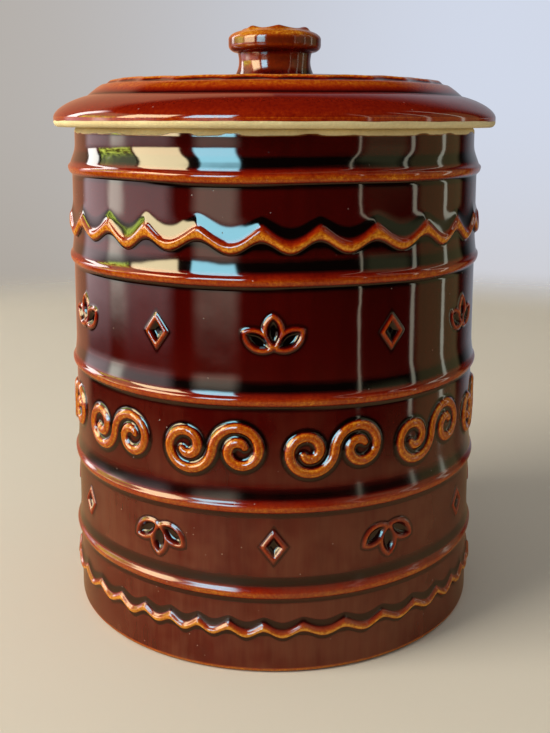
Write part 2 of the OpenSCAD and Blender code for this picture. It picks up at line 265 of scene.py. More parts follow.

# %% [markdown]
# ## Wall and hoops
#
# The wall widens a little from the top hoop to the foot, so that the jar leaves its mould, and the
# neck above the top hoop is set in. A hoop isn't a round bead. It has a full lip at its lower edge
# that drops into a sharp crease, and a longer cove that runs back up into the wall. The molten
# glaze sags off the lip, so it is thinnest and most amber low on the lip, and gets thicker and
# redder toward its top. It gathers in the cove until it is nearly black, and the crease under the
# lip is painted nearly black as shade. Both are kept as fields beside the height, because the
# glaze needs them later.


# %% The wall and the section of a hoop
def wall(z):
    """Radius of the outer wall: a straight line from foot to top hoop, less a soft step for the
    neck."""
    inset = NECK_INSET * smooth((z - HOOPS[4] + NECK_BELOW) / NECK_RUN)
    return FOOT_R + (SHOULDER_R - FOOT_R) * z / HOOPS[4] - inset


EDGE, FOLD, COVE = -0.3, -0.05, 2.0
FOLD_H, AMBER_END = 0.48, 0.4
BEAD_U = np.linspace(-2, 2.2, 841)
lip_part = np.sqrt(np.clip(1 - ((EDGE - BEAD_U) / (1 + EDGE)) ** 2, 0, 1))
top_part = 1 - (1 - FOLD_H) * np.clip((BEAD_U - EDGE) / (FOLD - EDGE), 0, 1) ** 1.15
cove_part = FOLD_H * np.clip((COVE - BEAD_U) / (COVE - FOLD), 0, 1) ** 2
sections = [lip_part, top_part, cove_part]
BEAD_H = np.select([BEAD_U < EDGE, BEAD_U < FOLD, BEAD_U < COVE], sections)
BEAD_H = level(BEAD_H[:, None], 12, 1)[:, 0]
BEAD_H = BEAD_H / BEAD_H.max()


def bead(u):
    """Height of a hoop's section, 0 to 1: a quarter ellipse from the crease at u = -1 up to the
    lip's edge, a short steep top down to the fold, and from there a hollow parabola to the top of
    the cove at u = COVE, all levelled as by glaze."""
    return np.interp(u, BEAD_U, BEAD_H)


def sagged(u):
    """How thin the glaze lies on a lip: full near u = -0.65, with a quick end at the crease and a
    slow fade over the fold up to u = AMBER_END."""
    lip = 0.42 * smooth((AMBER_END - u) / 0.5) + 0.58 * smooth((FOLD - u) / 0.5)
    return smooth((u + 1.02) / 0.24) * lip


def hoop_relief(angle, z):
    """Height, thinness and pooling of the five hoops at an angle and height: each is a bead whose
    line wanders by a few tenths of a millimetre. The pooling is thick glaze in the cove and
    painted shade in the crease under the lip."""
    total, thin, pool = 0, 0, 0
    for i, middle in enumerate(HOOPS):
        line = middle + HOOP_LIFT + hand(angle, 0.16, 1, 7, 10 + i)
        u = (z - line) / (HOOP_W / 2)
        full = HOOP_FULL[i] * (1 + hand(angle, 0.07, 2, 16, 20 + i))
        total = total + HOOP_OUT * full * bead(u)
        thin = thin + sagged(u) * (HOOP_AMBER[i] + hand(angle, 0.06, 3, 30, 30 + i))
        # pooling: painted shade in the crease under the lip, and thick glaze in the cove above it
        pool = pool + hump(u, -1.22, 0.2) + window(u, 0.25, 1.1, 0.4)
    return total, thin, pool


peak = BEAD_U[BEAD_H.argmax()]
print("bead section peaks at", round(float(BEAD_H.max()), 3), "at u", round(float(peak), 2))

# %% [markdown]
# ## The pot
#
# One profile goes from the middle of the underside, out over the foot ring, up the wall, over the
# rim and down the inside to the middle of the floor. Between the hoops it steps back by the
# thickness of a relief band. Those bands are pieces of their own with a much finer grid, and they
# fill the steps flush. A single grid as fine as that would be too heavy for one piece.

# %% The pot's profile
SEAMS = [(3.0, 28.4), (39.7, 60.4), (71.7, 98.9), (110.2, 139.9), (151.2, 173.4)]
POT_COLUMNS, ROW_GAP, LIP_BELOW = 400, 1.25, 1.6


def lip_rows(low, high):
    """Heights between two ends, about ROW_GAP apart and four times as dense on a hoop's lip: equal
    steps of the running sum of the density. A lip's middle is LIP_BELOW under its hoop's line."""
    z = np.linspace(low, high, 800)
    from_lip = np.min(np.abs(z[:, None] - HOOPS - HOOP_LIFT + LIP_BELOW), 1) / (HOOP_W / 2)
    total = np.cumsum(1 + 3 * window(from_lip, -1, 0.72, 0.2)) * (high - low) / len(z)
    count = max(3, int(total[-1] / ROW_GAP))
    return np.interp(np.linspace(total[0], total[-1], count), total, z)


def pot_profile():
    """Rows of the pot as (radius, height, bare, whether hoops are added, sharp rows). The stretches
    run from the underside over the foot ring, then up the wall with a step for each band, then
    over the rim and down the inside."""
    ring_in = FOOT_R - FOOT_RING_W
    parts = [
        # underside, then the foot ring's inner slope, inner corner, bare face and outer corner
        (np.linspace(0, ring_in - 4, 9), FOOT_RECESS, 0.0),
        (*corner(ring_in - 3.4, FOOT_RECESS, ring_in - 0.9, 0.5, "r", 6), 0.2),
        (*corner(ring_in - 0.8, 0.35, ring_in, 0, "z", 4), 1.0),
        (np.linspace(ring_in + 0.5, FOOT_R - FOOT_ROUND, 8), 0.0, 1.0),
        (*corner(FOOT_R - FOOT_ROUND + 0.1, 0, wall(FOOT_ROUND), FOOT_ROUND, "r", 9), 0.3),
    ]
    wall_rows, sharp = [], []
    start = sum(np.broadcast(r, z).size for r, z, _ in parts)
    low = FOOT_ROUND + 0.3
    for bottom, top in SEAMS:
        height = lip_rows(low, bottom)
        wall_rows.append((wall(height), height, 0.0))
        count = start + sum(len(h) for _, h, _ in wall_rows)
        sharp += [count - 1, count, count + 1, count + 2]
        ends = np.array([bottom, top])
        wall_rows.append((wall(ends) - BAND_SKIN - BAND_GAP, ends, 0.0))
        low = top
    height = lip_rows(low, JAR_H - RIM_ROUND - 0.2)
    wall_rows.append((wall(height), height, 0.0))
    wall_end = start + sum(len(h) for _, h, _ in wall_rows)
    rim = wall(JAR_H)
    mouth = rim - WALL_T
    deep = wall(FLOOR_Z + FLOOR_FILLET) - WALL_T
    inner_r = np.linspace(mouth, deep, 30)[1:-1]
    inner_z = np.linspace(JAR_H - RIM_ROUND, FLOOR_Z + FLOOR_FILLET, 30)[1:-1]
    parts += wall_rows + [
        # bare rim with its two round edges, then the inside, its fillet and the floor
        (*corner(rim, JAR_H - RIM_ROUND, rim - RIM_ROUND, JAR_H, "z", 7), 1.0),
        (np.linspace(rim - RIM_ROUND - 0.6, mouth + RIM_ROUND + 0.6, 5), JAR_H, 1.0),
        (*corner(mouth + RIM_ROUND, JAR_H, mouth, JAR_H - RIM_ROUND, "r", 7), 1.0),
        (inner_r, inner_z, 0.0),
        (*corner(deep, FLOOR_Z + FLOOR_FILLET, deep - FLOOR_FILLET, FLOOR_Z, "z", 12), 0.0),
        (np.linspace(deep - FLOOR_FILLET, 0, 14)[1:], FLOOR_Z, 0.0),
    ]
    radius, height, bare = along(*parts)
    number = np.arange(len(radius))[:, None]
    on_wall = (number >= start) & (number < wall_end) & (radius > wall(height) - 0.5)
    return radius, height, bare, on_wall, sharp


pot_r, pot_z, pot_bare, pot_on_wall, pot_sharp = pot_profile()
print("the pot has", len(pot_r), "rows of", POT_COLUMNS, "points")

# %% Turn the pot
pot_angle = np.linspace(0, 2 * np.pi, POT_COLUMNS, endpoint=False)[None, :]
hoop_h, hoop_thin, hoop_pool_and_shade = hoop_relief(pot_angle, pot_z)
rim_line = JAR_H - RIM_BARE + hand(pot_angle, 0.1, 4, 40, 41)
rim_strip = smooth((pot_z - rim_line) / 0.4) * pot_on_wall
foot_line = window(pot_z, 0.4, 1.9, 0.8) * (pot_r > FOOT_R - 2.2)
skin(
    "jar_pot",
    turned(pot_r + hoop_h * pot_on_wall, pot_z, pot_angle),
    "jar",
    "jar",
    {
        "thin": hoop_thin * pot_on_wall + 0.7 * foot_line,
        "pool": hoop_pool_and_shade * pot_on_wall,
        "bare": np.maximum(pot_bare, rim_strip),
    },
    sharp_rows=pot_sharp,
)

# %% [markdown]
# ## Bands of relief
#
# Each band is a closed ring: a front that carries the relief, and a plain back and ends that lie
# in the pot's step. Its ends have the hoop's height added as the pot has, so the two skins meet on
# one line and the seam can't be seen. The end rows are marked sharp, so that the smooth shading
# of the front isn't pulled round the corner.


# %% Make a relief band
def band(name, which, angle, rows, relief):
    """A relief band in the step `which`, from relief(z) that gives height, thinness and pooling on
    the grid of z by angle. The pooling also carries painted shade under the lips."""
    bottom, top = SEAMS[which]
    z = np.linspace(bottom, top, rows)[:, None]
    edge = smooth((z - bottom) / BAND_FADE) * smooth((top - z) / BAND_FADE)
    added, added_thin, added_pool_and_shade = relief(z)
    height, thin, pool = hoop_relief(angle, z)
    back = np.array([[top - BAND_GAP], [bottom + BAND_GAP]])
    flat = np.zeros((2, angle.size))
    radius = np.vstack([wall(z) + height + added * edge, wall(back) - BAND_SKIN + flat])
    marks = {
        "thin": np.vstack([thin + added_thin * edge, flat]),
        "pool": np.vstack([pool + added_pool_and_shade * edge, flat]),
        "bare": np.zeros((rows + 2, 1)),
    }
    points = turned(radius, np.vstack([z, back]), angle)
    sharp = [0, rows - 1, rows, rows + 1]
    return skin(name, points, "jar", "jar", marks, True, sharp)


print("a band reaches", BAND_SKIN, "mm into the wall")

# %% [markdown]
# ## Scalloped cords
#
# A cord is a hoop whose line goes up and down. Its crests are nearly points and its troughs are
# round, as when the line was pressed with a curved tool again and again. Three lines describe it:
# the crease under the lip, the ridge, and the top of the cove above, which hardly follows the
# scallops, so the cove opens like a cup over each trough. The section of the hoop is then
# stretched between these lines. A tube swept along a wavy path would be quicker to make, but it
# would have the same section in the crests and in the troughs.


# %% A scalloped cord
def scallop(phase):
    """How far a scalloped line has dropped at a phase: 0 at its crests, which are nearly points,
    and 1 in its round troughs."""
    return (np.sqrt(np.sin(phase / 2) ** 2 + 0.015) - 0.12) / 0.89


def cord(phase, depth, stray, crease, ridge, cove, out):
    """relief(z) of a cord. Each line is (height at a crest, drop in a trough): the ridge drops by
    the scallop, and crease and cove by a plain wave. Below the ridge the section runs from the
    crease, and above it to the top of the cove. out is (height in mm, what a trough adds)."""
    drop = scallop(phase) * depth
    round_drop = (1 - np.cos(phase)) / 2 * depth
    crease_z = crease[0] - crease[1] * round_drop + stray
    ridge_z = ridge[0] - ridge[1] * drop
    cove_z = cove[0] - cove[1] * round_drop

    def relief(z):
        up = COVE * (z - ridge_z) / (cove_z - ridge_z)
        u = np.where(z < ridge_z, (z - ridge_z) / (ridge_z - crease_z), up)
        # painted shadow in the crease under the lip, and thick glaze in the cove above it
        shadow_and_pool = hump(u, -1.3, 0.24) + window(u, 0.3, 1.2, 0.4)
        return (out[0] + out[1] * drop) * bead(u), sagged(u) * 0.96, shadow_and_pool

    return relief


print("a scallop drops", np.round(scallop(np.radians([0, 45, 90, 135, 180])), 2).tolist())

# %% The upper cord
UPPER_SCALLOPS = 25
upper_turn = np.linspace(0, 2 * np.pi, UPPER_SCALLOPS * 46, endpoint=False)[None, :]
upper_angle = FRONT + np.radians(-3.35) + upper_turn + hand(upper_turn, np.radians(0.35), 2, 9, 51)
upper_relief = cord(
    phase=upper_turn * UPPER_SCALLOPS,
    depth=1 + hand(upper_turn, 0.06, 3, 14, 52),
    stray=hand(upper_turn, 0.12, 2, 20, 53),
    crease=(156.4, 4.1),
    ridge=(161.4, 5.4),
    cove=(166.4, 2.6),
    out=(1.45, 0.15),
)
band("jar_upper_cord", 4, upper_angle, 56, upper_relief)

# %% The lower cord
LOWER_SCALLOPS = 39
lower_turn = np.linspace(0, 2 * np.pi, LOWER_SCALLOPS * 30, endpoint=False)[None, :]
lower_angle = FRONT + lower_turn - np.radians(2.4) * np.cos(4 * lower_turn)
lower_relief = cord(
    phase=lower_turn * LOWER_SCALLOPS,
    depth=1 + hand(lower_turn, 0.1, 3, 18, 55),
    stray=hand(lower_turn, 0.1, 2, 20, 56),
    crease=(16.6, 2.4),
    ridge=(19.8, 2.9),
    cove=(24.0, 1.4),
    out=(1.5, 0.1),
)
band("jar_lower_cord", 0, lower_angle, 60, lower_relief)

# %% [markdown]
# ## A band of lying S-scrolls
#
# An S-scroll is one line that winds up at both ends. On the flat its middle line is a spiral round
# an eye, and the same spiral turned half round. Each of the twelve was cut by hand, so the eye, the
# reach and the lean differ a little. The height at a point depends on its distance to that line
# alone, which a table of distances gives for a whole cell at once. A curve object with a bevel
# would be quicker to make, but it would lie on the wall like a wire, and a moulded line grows out
# of the clay with a soft foot.


# %% Distance to a scroll
SCROLLS, SCROLL_TURNS, SCROLL_LINE, SCROLL_GAP, SCROLL_OUT = 12, 1.4, 3.4, 1.6, 1.4


def middle_line(reach, eye, lean):
    """Middle line of an S-scroll on the flat, for t from -1 to 1: radius from the reach down to
    the eye as t winds in, and the two halves turned half round from each other."""
    t = np.linspace(0, 1, 240)
    radius = eye + (reach - eye) * (1 - t) ** 1.15
    angle = np.pi - 2 * np.pi * SCROLL_TURNS * t
    half = np.stack([reach + radius * np.cos(angle), radius * np.sin(angle)], -1)
    line = np.vstack([-half[::-1], half[1:]])
    c, s = np.cos(lean), np.sin(lean)
    return line @ np.array([[c, s], [-s, c]]), np.concatenate([-t[::-1], t[1:]])


def distance_to_line(x, y, line, t):
    """Distance from each point to the nearest point of a line, and that point's t."""
    gap = (x[..., None] - line[:, 0]) ** 2 + (y[..., None] - line[:, 1]) ** 2
    nearest = gap.argmin(-1)
    return np.sqrt(np.take_along_axis(gap, nearest[..., None], -1)[..., 0]), t[nearest]


scroll_z = (HOOPS[1] + HOOPS[2]) / 2
cell_w = 2 * np.pi * wall(scroll_z) / SCROLLS
scroll_reach = (cell_w - SCROLL_GAP - SCROLL_LINE) / 4
print("a scroll's cell is", round(float(cell_w), 2), "mm wide, its reach", round(float(scroll_reach), 2))

# %% The band of scrolls
cell_columns = 96
scroll_angle = FRONT + np.linspace(0, 2 * np.pi, SCROLLS * cell_columns, endpoint=False)[None, :]


def scroll_relief(z):
    """Height, thinness and pooling of twelve scrolls: a rounded ridge over the distance to each
    middle line, levelled, with amber on the ridge and dark glaze along its foot."""
    random = np.random.default_rng(61)
    cells, feet = [], []
    x = (np.arange(cell_columns) + 0.5) / cell_columns * cell_w - cell_w / 2
    for _ in range(SCROLLS):
        reach = scroll_reach * random.uniform(0.97, 1.02)
        eye = SCROLL_LINE * random.uniform(0.6, 0.68)
        line, t = middle_line(reach, eye, random.uniform(-0.05, 0.05))
        shifted = line + random.uniform(-0.25, 0.25, 2)
        far, where = distance_to_line(x[None, :] + 0 * z, z - scroll_z + 0 * x[None, :], shifted, t)
        half_w = SCROLL_LINE / 2 * (1 - 0.3 * smooth((np.abs(where) - 0.9) / 0.1))
        cells.append(np.sqrt(np.clip(1 - (far / half_w) ** 2, 0, 1)))
        feet.append(window(far / half_w, 1.05, 1.85, 0.4))
    wander = 1 + hand(scroll_angle, 0.05, 5, 40, 62)
    height = SCROLL_OUT * level(np.hstack(cells), 0.9, 0.9) * wander
    thin = 0.90 * smooth((height - 0.3) / 0.5) - 0.24 * smooth((height - 0.95) / 0.35)
    return height, thin, level(np.hstack(feet), 0.7, 0.7)


band("jar_scrolls", 2, scroll_angle, 67, scroll_relief)

# %% [markdown]
# ## Bands of sprigs
#
# A leaf is pressed into the soft wall: a pointed hollow, with the clay it displaced standing up as
# a lip all round it. A leaf's outline is where two circles overlap, so the distance to its edge is
# the larger of the distances to the two circles. A lozenge's edge distance is as short. The
# smallest of the distances to all outlines in a cell then gives the height everywhere: hollow
# where it is negative, lip where it is just above zero.


# %% Edge distances of leaves and lozenges
def leaf_edge(x, y, length, width, centre, lean):
    """Distance to the edge of a leaf, negative inside: the larger of the distances to two circles
    that overlap in its outline."""
    c, s = np.cos(lean), np.sin(lean)
    px, py = x - centre[0], y - centre[1]
    across, up = c * px - s * py, s * px + c * py
    radius = (length**2 / 4 + width**2 / 4) / width
    offset = radius - width / 2
    return np.hypot(np.abs(across) + offset, up) - radius


def lozenge_edge(x, y, length, width):
    """Distance to the edge of an upright lozenge, negative inside."""
    slope = np.hypot(length, width) / 2
    return (np.abs(x) * length / 2 + np.abs(y) * width / 2 - length * width / 4) / slope


SPRIGS, LEAF, LEAF_W, LOZENGE, LOZENGE_W = 6, 9.0, 4.6, 8.0, 6.0
LEAF_LEANS = np.radians([-56, 0, 56])
deepest = leaf_edge(0.0, 0.0, LEAF, LEAF_W, (0.0, 0.0), 0.0)
print("the middle of a leaf is", round(float(-deepest), 2), "mm inside its edge")


# %% The relief of a band of sprigs
def sprig_relief(middle, direction, start, shine, angle, seed):
    """relief(z) of sprigs with a lozenge between each two. direction is 1 for sprigs that grow up
    and -1 for down, start is the place of the first sprig in cells, and shine says how amber
    their lips are. The lip is a hump just outside the edge, the hollow a soft step inside it."""

    def relief(z):
        random = np.random.default_rng(seed)
        cell = 2 * np.pi / SPRIGS
        around = (angle - FRONT) / cell - start
        nearest = np.round(around)
        between = np.round(around - 0.5) + 0.5
        x = (around - nearest) * cell * wall(middle) * direction
        x_between = (around - between) * cell * wall(middle)
        y = (z - middle) * direction + 0 * x
        which = (nearest % SPRIGS).astype(int)
        lean_of = random.uniform(-0.06, 0.06, SPRIGS)[which]
        size_of = random.uniform(0.96, 1.05, SPRIGS)[which]
        edges = []
        for lean in LEAF_LEANS:
            out = LEAF * 0.72 * size_of
            centre = (np.sin(lean + lean_of) * out, np.cos(lean + lean_of) * out - LEAF / 2)
            edges.append(leaf_edge(x, y, LEAF * size_of, LEAF_W * size_of, centre, lean + lean_of))
        edges.append(lozenge_edge(x_between, y, LOZENGE, LOZENGE_W))
        edge = np.minimum.reduce(edges)
        lip = 0.85 * hump(edge, 0.62, 0.62)
        hollow = -1.05 * smooth(-(edge - 0.15) / 1.5)
        height = level(lip + hollow, 0.55, 0.55)
        thin = shine * window(edge, 0.12, 1.2, 0.5) * (1 + hand(angle, 0.12, 8, 50, seed + 1))
        pool = level(smooth(-edge / 0.8) + 0.75 * window(edge, 1.75, 2.4, 0.5), 0.6, 0.6)
        return height, level(thin, 0.5, 0.5), pool

    return relief


# %% The two bands of sprigs
sprig_angle = FRONT + np.linspace(0, 2 * np.pi, SPRIGS * 192, endpoint=False)[None, :]
upper_middle, lower_middle = (HOOPS[2] + HOOPS[3]) / 2, (HOOPS[0] + HOOPS[1]) / 2
upper_sprigs = sprig_relief(upper_middle, 1, 0, 0.66, sprig_angle, 71)
lower_sprigs = sprig_relief(lower_middle, -1, 0.5, 0.5, sprig_angle, 75)
band("jar_upper_sprigs", 3, sprig_angle, 73, upper_sprigs)
band("jar_lower_sprigs", 1, sprig_angle, 52, lower_sprigs)

# %% [markdown]
# ## The lid
#
# The lid is turned like the pot: a flat seat, a bare edge, a bulging flange, a crease, and a low
# crown with a rounded shoulder. Under it are a hollow and a ring that hangs in the mouth and keeps
# the lid from sliding off. The lid is fired standing on its bare edge, which is why no glaze
# reaches it. On the crown a scalloped line runs round, the same line as on the wall, seen almost
# from its side. The flange's section is a mix of a straight way and a quarter of an ellipse, so
# one number says how full it is.

# %% The lid's profile
LID_R = wall(JAR_H) + LID_OVERHANG
CREASE_R = LID_R - FLANGE_W
RING_R = CREASE_R - RING_INSET


def crown(radius):
    """Height of the crown: a parabola that falls from the knob's foot to the crease, and drops
    further over its rounded shoulder."""
    reach = np.clip((radius - KNOB_FOOT_R) / (CREASE_R - KNOB_FOOT_R), 0, None)
    shoulder = np.clip((radius - CREASE_R) / CROWN_SHOULDER + 1, 0, 1)
    drop = CROWN_RISE * (1 - DOME)
    return SEAT_Z - CROWN_RISE * DOME * reach**2 - drop * shoulder**1.25


def flange(t):
    """Radius and height of the flange for t from 0 at the bare edge to 1 at the crease: how far in
    it is, 1 - q, sets the straight part, and the ellipse's root of 1 - q^2 the round part."""
    q = np.cos(np.pi / 2 * t)
    rise = (1 - FLANGE_ROUND) * (1 - q) + FLANGE_ROUND * np.sqrt(1 - q * q)
    return CREASE_R + FLANGE_W * q, JAR_H + LID_EDGE_H + FLANGE_RISE * rise


out_r = wall(JAR_H) - WALL_T - LOCATING_GAP
in_r = out_r - LOCATING_T
ring_low = JAR_H - LOCATING_DEPTH
hollow_r = np.linspace(0, CREASE_R - HOLLOW_INSET, 16)
edge_top = JAR_H + LID_EDGE_H
flange_r, flange_z = flange(np.linspace(0, 1, 38))
crown_t = np.linspace(0, 1, 90)
crown_r = (CREASE_R - 0.2) * (1 - crown_t) ** 0.8
lid_r, lid_z, lid_bare = along(
    # the hollow, the inner side of the locating ring, its two lower corners and its outer side
    (hollow_r, crown(hollow_r) - LID_T, 0.0),
    (*corner(hollow_r[-1] + 1.0, crown(hollow_r[-1]) - LID_T - 0.4, in_r, JAR_H, "r", 8), 0.0),
    (in_r, np.linspace(JAR_H - 1, ring_low + 1.4, 6), 0.0),
    (*corner(in_r, ring_low + 1.2, in_r + 1.2, ring_low, "z", 5), 0.6),
    (*corner(out_r - 1.2, ring_low, out_r, ring_low + 1.2, "r", 5), 1.0),
    (out_r, np.linspace(ring_low + 1.6, JAR_H - 0.3, 6), 1.0),
    # the seat, the round under the edge, the edge, the flange and the crown
    (np.linspace(out_r + 0.3, LID_R - LID_EDGE_ROUND - 0.2, 10), JAR_H, 1.0),
    (*corner(LID_R - LID_EDGE_ROUND, JAR_H, LID_R, JAR_H + LID_EDGE_ROUND, "r", 9), 1.0),
    (LID_R, np.linspace(JAR_H + LID_EDGE_ROUND + 0.1, edge_top - 0.1, 12), 1.0),
    (flange_r, flange_z, 0.0),
    (crown_r, crown(crown_r), 0.0),
)
print("lid profile has", len(lid_r), "rows, crease at", round(float(CREASE_R), 2), "mm")

# %% Turn the lid
LID_COLUMNS = RING_SCALLOPS * 20
lid_turn = np.linspace(0, 2 * np.pi, LID_COLUMNS, endpoint=False)[None, :]
lid_angle = FRONT + lid_turn
lid_phase = lid_turn * RING_SCALLOPS + hand(lid_turn, 0.35, 2, 9, 81)
rows_left = np.arange(len(lid_r), 0, -1)[:, None]
on_crown = rows_left <= len(crown_r)
on_flange = (rows_left <= len(crown_r) + len(flange_r)) & ~on_crown
ring_depth = 1 + hand(lid_turn, 0.08, 3, 12, 82)
ring_line = RING_R + RING_WAVE / 2 - RING_WAVE * scallop(lid_phase) * ring_depth
across = (lid_r - ring_line) / (RING_W / 2)
ring_h = level(RING_OUT * np.sqrt(np.clip(1 - across**2, 0, 1)) * on_crown, 0.8, 0.8)
uneven = hand(lid_angle, 0.1, 2, 8, 83) * (on_crown | on_flange)
glaze_line = JAR_H + 2.1 + hand(lid_angle, 0.05, 3, 45, 84)
below_line = 1 - smooth((lid_z - glaze_line) / 0.3)
raw_edge = lid_bare * np.where(lid_r > LID_R - 1, below_line, 1)
# the glaze is made darker along the lid's crease
crease_darkening = hump(lid_r, CREASE_R - 0.1, 0.6) * (on_crown | on_flange)
shoulder_thin = 0.67 * smooth((lid_r - RING_R - 2.0) / 3) * smooth((CREASE_R + 0.5 - lid_r) / 4.5)
lid_thin = (
    on_crown * (shoulder_thin + 0.3 * smooth((RING_R - 1.0 - lid_r) / 3))
    + 0.9 * smooth((ring_h - 0.3) / 0.6)
    + on_flange * (0.27 + 0.08 * smooth((edge_top + 4 - lid_z) / 3))
    + 0.5 * window(lid_z, JAR_H + 2.2, JAR_H + 3.4, 0.8) * (lid_r > LID_R - 1)
)
ring_foot = window(np.abs(across), 1.25, 2.0, 0.5) * on_crown * (lid_r < RING_R + 12)
skin(
    "lid_turned",
    turned(lid_r, lid_z + ring_h + uneven * smooth((lid_r - 5) / 10), lid_angle),
    "lid",
    "lid",
    {"thin": lid_thin, "pool": crease_darkening * 0.9 + 0.7 * ring_foot, "bare": raw_edge},
)

# %% [markdown]
# ## The knob
#
# The knob is turned apart and stuck to the crown with slip, so there is a crease round its foot.
# Its neck is waisted, its cap has nearly upright sides and a round shoulder, and a rim of six low
# bumps runs round the dished top. Glaze runs off such a small, round thing, so its shoulder and
# its lower edge are amber, and what ran off has gathered on its side. Round its foot and under
# its cap the neck is painted dark as shade.

# %% The knob's profile
knob_top = SEAT_Z + KNOB_H
cap_z = knob_top - KNOB_CAP_H
side_top = cap_z + KNOB_CAP_H * 0.47
rim_z = knob_top - BUMP_DOWN - 0.1
flat_r = KNOB_R - CAP_ROUND
neck_t = np.linspace(0, 1, 22)
neck_r = KNOB_FOOT_R + (KNOB_WAIST_R + 0.35 - KNOB_FOOT_R) * neck_t - 0.9 * np.sin(np.pi * neck_t)
neck_z = SEAT_Z + (cap_z - 0.9 - SEAT_Z) * neck_t
knob_r, knob_z, knob_bare = along(
    (np.linspace(0, KNOB_FOOT_R, 5), SEAT_Z, 0.0),
    (neck_r[1:], neck_z[1:], 0.0),
    (*corner(KNOB_WAIST_R + 0.8, cap_z - 0.5, KNOB_R, cap_z + 2.1, "r", 14), 0.0),
    (KNOB_R + 0 * neck_t[:9], np.linspace(cap_z + 2.3, side_top - 0.2, 9), 0.0),
    (*corner(KNOB_R, side_top, flat_r, rim_z, "z", 34), 0.0),
    (np.linspace(flat_r - 0.3, flat_r - 3.5, 12), rim_z - 0.9 * smooth(np.linspace(0.1, 1, 12)), 0.0),
    (np.linspace(flat_r - 4, 0, 12), rim_z - 0.9, 0.0),
)
print("knob profile has", len(knob_r), "rows, waist", round(float(neck_r.min()), 2))

# %% Turn the knob
knob_turn = np.linspace(0, 2 * np.pi, 384, endpoint=False)[None, :]
knob_phase = knob_turn * KNOB_BUMPS + hand(knob_turn, 0.3, 2, 5, 91)
rim_drop = scallop(knob_phase)
rim_across = (knob_r - (KNOB_R - 6.2 - 1.2 * rim_drop)) / 2.1
on_top = knob_z > side_top + 0.3
rim_h = level(np.sqrt(np.clip(1 - rim_across**2, 0, 1)) * on_top, 1.0, 1.6) * (1.35 - 0.85 * rim_drop)
knob_shape = knob_r + hand(knob_turn, 0.07, 2, 7, 92) * (knob_r > 8)
# painted shade: the neck is made darker under the cap and round the knob's foot
shade_under_cap = window(knob_z, cap_z - 1.8, cap_z + 0.6, 0.8) * (knob_r < KNOB_R - 1)
neck_shadow = 1.1 * smooth(1.2 - (knob_z - SEAT_Z) / 2.8) + 0.8 * shade_under_cap
knob_cloud = hand(knob_turn, 0.07, 1, 9, 93)
shoulder_amber = smooth((knob_z - side_top + 0.9) / 2.2) * (1 - 0.45 * smooth((rim_h - 0.2) / 0.5))
edge_amber = hump(knob_z, cap_z + 1.3, 0.7) * (knob_r > KNOB_WAIST_R + 1.5)
neck_amber = window(knob_z, SEAT_Z + 2.6, cap_z - 1.2, 1.6) * (knob_r < KNOB_WAIST_R + 1)
knob_thin = 0.26 + knob_cloud + 0.62 * shoulder_amber + 0.34 * edge_amber + 0.14 * neck_amber
skin(
    "knob_turned",
    turned(knob_shape, np.minimum(knob_z + rim_h, knob_top), FRONT + np.radians(BUMP_AT) + knob_turn),
    "lid",
    "knob",
    {"thin": knob_thin, "pool": neck_shadow, "bare": knob_bare},
)

# %% [markdown]
# ## Writing shader maths as Python
#
# A glaze needs a few dozen nodes. Wired by hand they are hard to read, so a small class stands for
# one socket and lets ordinary arithmetic add the Math nodes. Everything that isn't arithmetic goes
# through one method, which takes the node's type, its settings, and what its sockets get.


# %% Sockets with arithmetic
class Signal:
    """One output socket of a material, with arithmetic that adds Math nodes."""

    def __init__(self, paint, socket):
        self.paint, self.socket = paint, socket

    def math(self, operation, *values):
        return self.paint.node("ShaderNodeMath", {"operation": operation}, dict(enumerate(values)))

    def __add__(self, other):
        return self.math("ADD", self, other)

    def __radd__(self, other):
        return self.math("ADD", other, self)

    def __sub__(self, other):
        return self.math("SUBTRACT", self, other)

    def __rsub__(self, other):
        return self.math("SUBTRACT", other, self)

    def __mul__(self, other):
        return self.math("MULTIPLY", self, other)

    def __rmul__(self, other):
        return self.math("MULTIPLY", other, self)

    def at_least(self, other):
        return self.math("MAXIMUM", self, other)

    def at_most(self, other):
        return self.math("MINIMUM", self, other)

    def step(self, start, end):
        """0 below start, 1 above end, and a soft step between. start may be above end."""
        settings = {"interpolation_type": "SMOOTHSTEP", "clamp": True}
        sockets = {"Value": self, "From Min": start, "From Max": end}
        return self.paint.node("ShaderNodeMapRange", settings, sockets)


# %% A node tree and what it can add
class Paint:
    """A node tree, with one method that adds any node."""

    def __init__(self, tree):
        self.tree = tree
        tree.nodes.clear()

    def node(self, kind, settings=None, sockets=None, output=0):
        made = self.tree.nodes.new(kind)
        for key, value in (settings or {}).items():
            if key == "stops":
                self.set_stops(made.color_ramp, value)
            else:
                setattr(made, key, value)
        for key, value in (sockets or {}).items():
            if isinstance(value, Signal):
                self.tree.links.new(value.socket, made.inputs[key])
            else:
                made.inputs[key].default_value = value
        return Signal(self, made.outputs[output]) if made.outputs else made

    def set_stops(self, ramp, stops):
        while len(ramp.elements) > 1:
            ramp.elements.remove(ramp.elements[-1])
        for i, (place, colour) in enumerate(stops):
            stop = ramp.elements[0] if i == 0 else ramp.elements.new(place)
            stop.position = place
            stop.color = (*colour, 1)

    def place(self, scale=(1, 1, 1)):
        """Object coordinates in metres, stretched by a Mapping node."""
        where = self.node("ShaderNodeTexCoord", output="Object")
        return self.node("ShaderNodeMapping", None, {"Vector": where, "Scale": scale})

    def noise(self, where, scale, detail=2.0, rough=0.5, warp=0.0):
        sockets = {"Vector": where, "Scale": scale, "Detail": detail, "Roughness": rough}
        return self.node("ShaderNodeTexNoise", None, {**sockets, "Distortion": warp})

    def mark(self, name):
        return self.node("ShaderNodeAttribute", {"attribute_name": name}, output="Fac")

    def mix(self, factor, a, b, blend="MIX"):
        a, b = (c if isinstance(c, Signal) else (*c, 1) for c in (a, b))
        settings = {"data_type": "RGBA", "blend_type": blend}
        return self.node("ShaderNodeMix", settings, {0: factor, 6: a, 7: b}, output=2)


print("a signal knows", [name for name in vars(Signal) if not name.startswith("_")])
